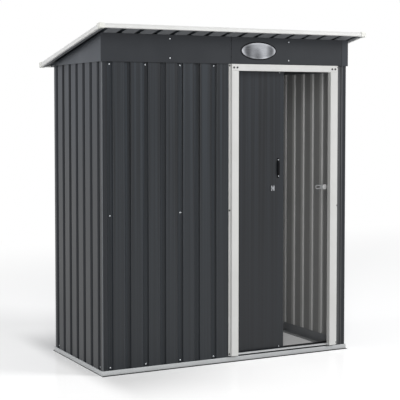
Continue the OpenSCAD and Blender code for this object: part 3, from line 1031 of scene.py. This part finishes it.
@dataclass
class Walls(SubAssembly):
    """The grooved sheets, the posts and rails inside them, and the screws in their grooves."""

    foot_z: float = 37 * MM
    mid_z: float = 820 * MM
    top_z: float = 1593 * MM
    build_up: float = 2.2 * MM
    front_grooves: int = 8
    rear_grooves: int = 15

    def dress(self) -> None:
        """Give the sheets, posts and rails their finishes."""
        finishes = self.shed.finishes
        self.shed.dress(finishes.wall, "front_wall_left_sheet", "rear_wall_left_sheet",
                        "rear_wall_right_sheet")
        self.shed.dress(finishes.strip, "front_wall_right_sheet")
        self.shed.dress(finishes.side, "left_wall_sheet", "right_wall_sheet")
        self.shed.dress(finishes.grey, "corner_post_front_left", "corner_post_front_right",
                        "corner_post_rear_left", "corner_post_rear_right", "top_rail_left", "top_rail_right",
                        "mid_rail_front", "mid_rail_rear")
        self.shed.dress(finishes.zinc, "top_rail_front", "top_rail_rear")

    def build(self) -> None:
        """Put screws in every other groove in front and behind, and at the foot of the sides' outer grooves.

        Those behind and at the rear of the sides have nuts inside. Elsewhere the tracks and the door leave no
        room for nuts.
        """
        low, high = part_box("base_rail_front")[0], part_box("base_rail_rear")[1]
        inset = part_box("front_wall_left_sheet")[0].y - low.y + GROOVE_DEPTH
        half = PITCH / 2
        ends = [self.foot_z, self.top_z]
        for k in range(0, self.front_grooves, 2):
            heights = ends + [self.mid_z] if k % 4 == 0 else ends
            self.column(low.x + half + k * PITCH, low.y + inset, FRONT, heights)
        for y, nuts in ((low.y + half, False), (high.y - half, True)):
            for x, out in ((low.x + inset, LEFT), (high.x - inset, RIGHT)):
                self.column(x, y, out, ends[:1], nuts)
        for k in range(0, self.rear_grooves, 2):
            self.column(low.x + half + k * PITCH, high.y - inset, REAR, ends, nuts=True)

    def column(self, x: float, y: float, out: Vector, heights: list[float], nuts: bool = False) -> None:
        """Put the screws of one groove.

        Args:
            x: the place of the groove's floor along X.
            y: its place along Y.
            out: the way that the wall faces.
            heights: the heights of the screws.
            nuts: whether each screw has a nut on the angle or the rail inside.
        """
        for z in heights:
            at = Vector((x, y, z))
            self.shed.screw.place(at, out, Body.SHED, "wall_screw")
            if nuts:
                self.shed.nut.place(at - out * self.build_up, -out, Body.SHED, "wall_nut")


@dataclass
class Fascia(SubAssembly):
    """The flat band above the walls, its side plates and the bare oval plate."""

    screw_x: tuple[float, float] = (-365 * MM, 358 * MM)
    screw_z: tuple[float, float] = (1729 * MM, 1628 * MM)
    # a thin black ring round the oval plate, like a seal, which is painted shade for the shadow at its edge
    shadow_ring_w: float = 6.0 * MM
    shadow_ring_t: float = 1.8 * MM
    shadow_ring_edge: float = 0.54 * MM

    def dress(self) -> None:
        """Give the band and its plates their finishes."""
        finishes = self.shed.finishes
        self.shed.dress(finishes.fascia, "fascia_left", "fascia_right")
        self.shed.dress(finishes.gable_left, "gable_left")
        self.shed.dress(finishes.gable, "gable_right")
        self.shed.dress(finishes.plate, "oval_plate")

    def build(self) -> None:
        """Put two screws in each half of the band, and the dark ring of painted shade round the oval plate."""
        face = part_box("fascia_left")[0].y
        for x in self.screw_x:
            for z in self.screw_z:
                self.shed.screw.place(Vector((x, face, z)), FRONT, Body.SHED, "fascia_screw")
        self.add_shadow_ring(face)

    def add_shadow_ring(self, face: float) -> None:
        """Put a thin black ring, like a seal, round the oval plate: painted shade for the shadow at its edge.

        Args:
            face: the plane of the band.
        """
        middle, half = middle_and_half(*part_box("oval_plate"))
        deselect()
        bpy.ops.mesh.primitive_circle_add(vertices=128, radius=1, fill_type="NGON")
        shadow_ring = bpy.context.object
        shadow_ring.name = "oval_plate_shadow_ring"
        shadow_ring.data.transform(Matrix.Diagonal((half.x + self.shadow_ring_w, half.z + self.shadow_ring_w, 1, 1)))
        pick_faces(shadow_ring, lambda _: True)
        bpy.ops.mesh.inset(thickness=self.shadow_ring_w)
        bpy.ops.mesh.delete(type="FACE")
        bpy.ops.object.mode_set(mode="OBJECT")
        wall = shadow_ring.modifiers.new("wall", "SOLIDIFY")
        wall.thickness = self.shadow_ring_t
        wall.offset = 1.0
        bpy.ops.object.modifier_apply(modifier="wall")
        soft = shadow_ring.modifiers.new("soft", "BEVEL")
        soft.width = self.shadow_ring_edge
        soft.segments = 2
        bpy.ops.object.modifier_apply(modifier="soft")
        shadow_ring.data.transform(Matrix.Translation((middle.x, face, middle.z)) @ aim(FRONT))
        bpy.ops.object.shade_smooth_by_angle(angle=SMOOTH_ANGLE)
        paint(shadow_ring, self.shed.finishes.black)
        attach(shadow_ring, Body.SHED.value)
        LOG.info("placed %s", shadow_ring.name)


@dataclass
class DoorFrame(SubAssembly):
    """The pale posts and header around the doorway, the upper track and the keeper of the lock."""

    flange_x: float = 5.5 * MM
    flange_t: float = 1.2 * MM
    flange_z: tuple[float, ...] = (40 * MM, 820 * MM, 1596 * MM)
    flange_screw: float = 0.8
    header_x: tuple[float, float] = (12 * MM, 32 * MM)
    header_drop: float = 19 * MM
    header_screw: float = 0.9
    knob_x: float = 12.5 * MM
    knob_r: float = 14.5 * MM
    knob_h: float = 4.5 * MM
    knob_back: float = 10 * MM

    def dress(self) -> None:
        """Give the frame its finishes."""
        finishes = self.shed.finishes
        self.shed.dress(finishes.white, "door_jamb_left", "door_jamb_right", "door_header")
        self.shed.dress(finishes.zinc, "door_track_top")
        self.shed.dress(finishes.keeper, "lock_keeper")

    def build(self) -> None:
        """Put dark screws in the posts' flanges and the header's ends, and the bolt head on the keeper."""
        dark = self.shed.finishes.dark_screw
        left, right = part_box("door_jamb_left")[0].x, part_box("door_jamb_right")[1].x
        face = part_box("front_wall_left_sheet")[0].y - self.flange_t
        for x in (left + self.flange_x, right - self.flange_x):
            for z in self.flange_z:
                self.shed.screw.place(Vector((x, face, z)), FRONT, Body.SHED, "post_screw", self.flange_screw,
                                      dark)
        self.add_knob()
        low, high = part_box("door_header")
        outer, inner = self.header_x
        for x in (low.x + outer, low.x + inner, high.x - inner, high.x - outer):
            at = Vector((x, low.y, high.z - self.header_drop))
            self.shed.screw.place(at, FRONT, Body.SHED, "header_screw", self.header_screw, dark)

    def add_knob(self) -> None:
        """Put the domed head of the keeper's bolt on its boss."""
        middle, _ = middle_and_half(*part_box("lock_keeper"))
        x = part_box("door_jamb_right")[0].x + self.knob_x
        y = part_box("door_panel")[1].y + self.knob_back
        deselect()
        bpy.ops.mesh.primitive_uv_sphere_add(segments=32, ring_count=24, radius=1)
        knob = bpy.context.object
        knob.name = "keeper_bolt_head"
        bpy.ops.object.mode_set(mode="EDIT")
        bpy.ops.mesh.select_all(action="SELECT")
        bpy.ops.mesh.bisect(plane_co=(0, 0, 0), plane_no=(0, 0, 1), use_fill=True, clear_inner=True)
        bpy.ops.object.mode_set(mode="OBJECT")
        size = Matrix.Diagonal((self.knob_r, self.knob_r, self.knob_h, 1))
        knob.data.transform(Matrix.Translation((x, y, middle.z)) @ aim(FRONT) @ size)
        bpy.ops.object.shade_smooth_by_angle(angle=SMOOTH_ANGLE)
        paint(knob, self.shed.finishes.bolt)
        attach(knob, Body.SHED.value)
        LOG.info("placed %s", knob.name)


@dataclass
class SlidingDoor(SubAssembly):
    """The door panel with its handle, lock and shoes."""

    shoe_x: float = 31 * MM
    lower_shoe_z: float = 17 * MM
    upper_shoe_z: float = 14 * MM
    shoe_screw: float = 0.8
    handle_foot: float = 9 * MM
    handle_foot_t: float = 4 * MM
    handle_screw: float = 0.75

    def dress(self) -> None:
        """Give the door its finishes."""
        finishes = self.shed.finishes
        self.shed.dress(finishes.door, "door_panel")
        self.shed.dress(finishes.black, "door_handle")
        self.shed.dress(finishes.bright, "door_lock")
        self.shed.dress(finishes.shoe, "door_runners")

    def build(self) -> None:
        """Put screws where the shoes are fixed to the door's foot and head, and in the feet of the handle."""
        low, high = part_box("door_panel")
        face = low.y
        for x in (low.x + self.shoe_x, high.x - self.shoe_x):
            for z in (low.z + self.lower_shoe_z, high.z - self.upper_shoe_z):
                self.shed.screw.place(Vector((x, face, z)), FRONT, Body.DOOR, "door_screw", self.shoe_screw)
        low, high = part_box("door_handle")
        for z in (low.z + self.handle_foot, high.z - self.handle_foot):
            at = Vector(((low.x + high.x) / 2, face - self.handle_foot_t, z))
            self.shed.screw.place(at, FRONT, Body.DOOR, "handle_screw", self.handle_screw)


@dataclass
class Roof(SubAssembly):
    """The two roof sheets with their pale trim and moulded corner caps."""

    def dress(self) -> None:
        """Give the roof its finishes."""
        finishes = self.shed.finishes
        self.shed.dress(finishes.roof, "roof_sheet_left", "roof_sheet_right")
        self.shed.dress(finishes.edge, "roof_trim_front")
        self.shed.dress(finishes.trim, "roof_trim_rear", "roof_trim_left", "roof_trim_right")
        self.shed.dress(finishes.cap, "roof_corner_caps")


# Stage


def seen(tree: NodeTree) -> Node:
    """Tell whether a ray comes from the camera, a reflection or glass.

    Args:
        tree: the node tree.

    Returns:
        One for such rays, and zero for the others.
    """
    path = add_node(tree, "ShaderNodeLightPath")
    first = add_node(tree, "ShaderNodeMath", {
        0: path.outputs["Is Camera Ray"], 1: path.outputs["Is Glossy Ray"]}, operation="MAXIMUM")
    return add_node(tree, "ShaderNodeMath", {0: first, 1: path.outputs["Is Transmission Ray"]},
                    operation="MAXIMUM")


@dataclass(frozen=True)
class StudioFloor(Finish):
    """Matt white paint on a studio floor, with a faint gloss.

    It glows a little to the camera outside the shed and less inside it, so that it is white with a soft
    shadow, and it fades to plain white far away. A painted shadow line lies where the rails meet the ground,
    as wide as the shadow under their bend and thinner at the sides. A soft painted shadow lies before the
    left corner.
    """

    name: str = "matt_white_studio_floor"
    paint: str = "#F2F2F2"
    line: str = "#202020"
    shadow_line_reach: tuple[float, float] = (15 * MM, 19 * MM)
    side_thinning: float = 4.0
    glow: float = 0.49
    glow_reach: tuple[float, float] = (15 * MM, 25 * MM)
    inner_glow: float = 0.17
    inner_reach: tuple[float, float] = (-20 * MM, -60 * MM)
    shade: float = 0.72
    shade_reach: float = 700 * MM
    shade_x: tuple[float, float] = (300 * MM, -850 * MM)
    shade_stop_x: tuple[float, float] = (-880 * MM, -700 * MM)
    white_reach: tuple[float, float] = (1.5, 5.0)
    gloss: float = 0.07
    roughness: float = 0.12

    def surface(self, tree: NodeTree) -> Node:
        """Add the nodes of the surface.

        Args:
            tree: the material's node tree.

        Returns:
            The shader of the surface.
        """
        at = add_node(tree, "ShaderNodeSeparateXYZ", {"Vector": object_place(tree)})
        sides, ends = self.past_rails(tree, at)
        edge = add_node(tree, "ShaderNodeMath", {0: sides, 1: ends}, operation="MAXIMUM")
        thin = add_node(tree, "ShaderNodeMath", {0: sides, 1: self.side_thinning}, operation="MULTIPLY")
        foot = add_node(tree, "ShaderNodeMath", {0: thin, 1: ends}, operation="MAXIMUM")
        near = add_node(tree, "ShaderNodeMath", {0: foot}, operation="ABSOLUTE")
        # painted shadow: a dark line on the floor where the rails meet the ground
        clear = add_node(tree, "ShaderNodeMapRange", {
            "Value": near, "From Min": self.shadow_line_reach[0], "From Max": self.shadow_line_reach[1]})
        tone = add_node(tree, "ShaderNodeMix", {
            "Factor": clear, "A": linear(self.line), "B": linear(self.paint)}, data_type="RGBA")
        diffuse = add_node(tree, "ShaderNodeBsdfDiffuse", {"Color": tone})
        glossy = add_node(tree, "ShaderNodeBsdfGlossy", {"Roughness": self.roughness})
        paint_coat = add_node(tree, "ShaderNodeMixShader", {0: self.gloss, 1: diffuse, 2: glossy})
        in_view = seen(tree)
        strength = add_node(tree, "ShaderNodeMath", {0: self.glow_at(tree, at, edge, foot), 1: in_view},
                            operation="MULTIPLY")
        glow = add_node(tree, "ShaderNodeEmission", {"Strength": strength})
        lit = add_node(tree, "ShaderNodeAddShader", {0: paint_coat, 1: glow})
        white = add_node(tree, "ShaderNodeEmission", {"Strength": 1.0})
        fade = add_node(tree, "ShaderNodeMapRange", {
            "Value": edge, "From Min": self.white_reach[0], "From Max": self.white_reach[1]},
            interpolation_type="SMOOTHSTEP")
        far = add_node(tree, "ShaderNodeMath", {0: fade, 1: in_view}, operation="MULTIPLY")
        return add_node(tree, "ShaderNodeMixShader", {0: far, 1: lit, 2: white})

    @staticmethod
    def past_rails(tree: NodeTree, at: Node) -> list[Node]:
        """Measure how far a point lies past the base rails.

        Args:
            tree: the material's node tree.
            at: the place.

        Returns:
            The distances along X and along Y, below zero between the rails.
        """
        middle, half = middle_and_half(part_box("base_rail_front")[0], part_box("base_rail_rear")[1])
        past = []
        for axis in (Axis.X.value, Axis.Y.value):
            off = add_node(tree, "ShaderNodeMath", {0: at.outputs[axis], 1: middle[axis]},
                           operation="SUBTRACT")
            far = add_node(tree, "ShaderNodeMath", {0: off}, operation="ABSOLUTE")
            past.append(add_node(tree, "ShaderNodeMath", {0: far, 1: half[axis]}, operation="SUBTRACT"))
        return past

    def glow_at(self, tree: NodeTree, at: Node, edge: Node, foot: Node) -> Node:
        """Work out how much the floor glows.

        Args:
            tree: the material's node tree.
            at: the place.
            edge: the distance past the rails.
            foot: the same distance, which grows faster at the sides.

        Returns:
            The strength of the glow.
        """
        outer = add_node(tree, "ShaderNodeMapRange", {
            "Value": foot, "From Min": self.glow_reach[0], "From Max": self.glow_reach[1],
            "To Max": self.glow})
        # painted shadow: the glow is lowered in a soft patch before the left corner
        close = add_node(tree, "ShaderNodeMapRange", {
            "Value": edge, "From Max": self.shade_reach, "To Min": 1.0, "To Max": 0.0},
            interpolation_type="SMOOTHSTEP")
        left = add_node(tree, "ShaderNodeMapRange", {
            "Value": at.outputs["X"], "From Min": self.shade_x[0], "From Max": self.shade_x[1],
            "To Max": self.shade}, interpolation_type="SMOOTHSTEP")
        stop = add_node(tree, "ShaderNodeMapRange", {
            "Value": at.outputs["X"], "From Min": self.shade_stop_x[0], "From Max": self.shade_stop_x[1]},
            interpolation_type="SMOOTHSTEP")
        span = add_node(tree, "ShaderNodeMath", {0: left, 1: stop}, operation="MULTIPLY")
        shade = add_node(tree, "ShaderNodeMath", {0: close, 1: span}, operation="MULTIPLY")
        lift = add_node(tree, "ShaderNodeMath", {0: 1.0, 1: shade}, operation="SUBTRACT")
        outside = add_node(tree, "ShaderNodeMath", {0: outer, 1: lift}, operation="MULTIPLY")
        inner = add_node(tree, "ShaderNodeMapRange", {
            "Value": edge, "From Min": self.inner_reach[0], "From Max": self.inner_reach[1],
            "To Max": self.inner_glow})
        return add_node(tree, "ShaderNodeMath", {0: outside, 1: inner}, operation="ADD")


@dataclass(frozen=True)
class SoftBox:
    """A rectangular lamp that looks at the middle of the shed."""

    name: str
    at: tuple[float, float, float]
    size: tuple[float, float]
    power: float
    mirrored: bool = True
    target: tuple[float, float, float] = (0, 0, 0.9)

    def add(self, scene: Scene) -> None:
        """Add the lamp, which shiny surfaces show if it is a mirrored one.

        Args:
            scene: the scene.
        """
        data = bpy.data.lights.new(self.name, "AREA")
        data.shape = "RECTANGLE"
        data.size, data.size_y = self.size
        data.energy = self.power
        lamp = bpy.data.objects.new(self.name, data)
        lamp.visible_glossy = self.mirrored
        lamp.location = self.at
        lamp.rotation_euler = (Vector(self.target) - Vector(self.at)).to_track_quat("-Z", "Y").to_euler()
        scene.collection.objects.link(lamp)


@dataclass
class Stage:
    """A pale floor, a white world, a soft key light, a tall strip light, a fill light and the camera."""

    camera_at: tuple[float, float, float] = (-2.968, -5.695, 1.3736)
    yaw: float = 27.43
    pitch: float = 2.89
    lens: float = 102.86
    sensor: float = 36.0
    shift_y: float = -0.0875
    view_end: float = 200.0
    lamps: tuple[SoftBox, ...] = (
        SoftBox("key", (7.9, -6.3, 6.0), (3.6, 3.6), 600.0),
        SoftBox("strip", (-2.85, -5.85, 2.3), (1.5, 4.2), 130.0),
        SoftBox("fill", (-6.2, 0.6, 2.0), (2.0, 2.0), 95.0, mirrored=False),
    )
    floor_size: float = 60.0
    sky: float = 0.22
    sky_tint: tuple[float, float, float, float] = (0.93, 0.97, 1.05, 1)

    def build(self) -> None:
        """Set up the camera, the light, the floor and the world."""
        scene = bpy.context.scene
        scene.view_settings.view_transform = "Standard"
        self.add_camera(scene)
        for lamp in self.lamps:
            lamp.add(scene)
        self.add_floor()
        self.add_world(scene)

    def add_camera(self, scene: Scene) -> None:
        """Add the camera at the photograph's viewing angle.

        Args:
            scene: the scene.
        """
        data = bpy.data.cameras.new("camera")
        data.lens = self.lens
        data.sensor_width = self.sensor
        data.shift_y = self.shift_y
        data.clip_end = self.view_end
        camera = bpy.data.objects.new("camera", data)
        camera.location = self.camera_at
        camera.rotation_euler = (math.radians(90 - self.pitch), 0, math.radians(-self.yaw))
        scene.collection.objects.link(camera)
        scene.camera = camera

    def add_floor(self) -> None:
        """Add the floor."""
        deselect()
        bpy.ops.mesh.primitive_plane_add(size=self.floor_size, location=(0, 0, 0))
        floor = bpy.context.object
        floor.name = "floor"
        floor.data.materials.append(StudioFloor().make())

    def add_world(self, scene: Scene) -> None:
        """Make the world white to the camera, faintly blue to reflections, and softer as a light.

        Args:
            scene: the scene.
        """
        world = bpy.data.worlds.new("studio")
        world.use_nodes = True
        tree = world.node_tree
        tree.nodes.clear()
        soft = add_node(tree, "ShaderNodeBackground", {"Color": (1, 1, 1, 1), "Strength": self.sky})
        path = add_node(tree, "ShaderNodeLightPath")
        tone = add_node(tree, "ShaderNodeMix", {
            "Factor": path.outputs["Is Camera Ray"], "A": self.sky_tint, "B": (1, 1, 1, 1)}, data_type="RGBA")
        white = add_node(tree, "ShaderNodeBackground", {"Color": tone, "Strength": 1.0})
        both = add_node(tree, "ShaderNodeMixShader", {0: seen(tree), 1: soft, 2: white})
        add_node(tree, "ShaderNodeOutputWorld", {"Surface": both})
        scene.world = world


def main() -> None:
    """Build the stage, the finishes and the sub-assemblies in order."""
    logging.basicConfig(level=logging.INFO, format="%(message)s")
    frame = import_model()
    Stage().build()
    finishes = Finishes()
    screw = Screw()
    screw.build(finishes)
    nut = Nut()
    nut.build(finishes)
    shed = Shed(frame["nodes"], finishes, screw, nut)
    for group in (BaseFrame(shed), Walls(shed), Fascia(shed), DoorFrame(shed), SlidingDoor(shed), Roof(shed)):
        group.dress()
        group.build()
        LOG.info("finished %s", type(group).__name__)
    screw.finish()
    nut.finish()


if __name__ == "__main__":
    main()
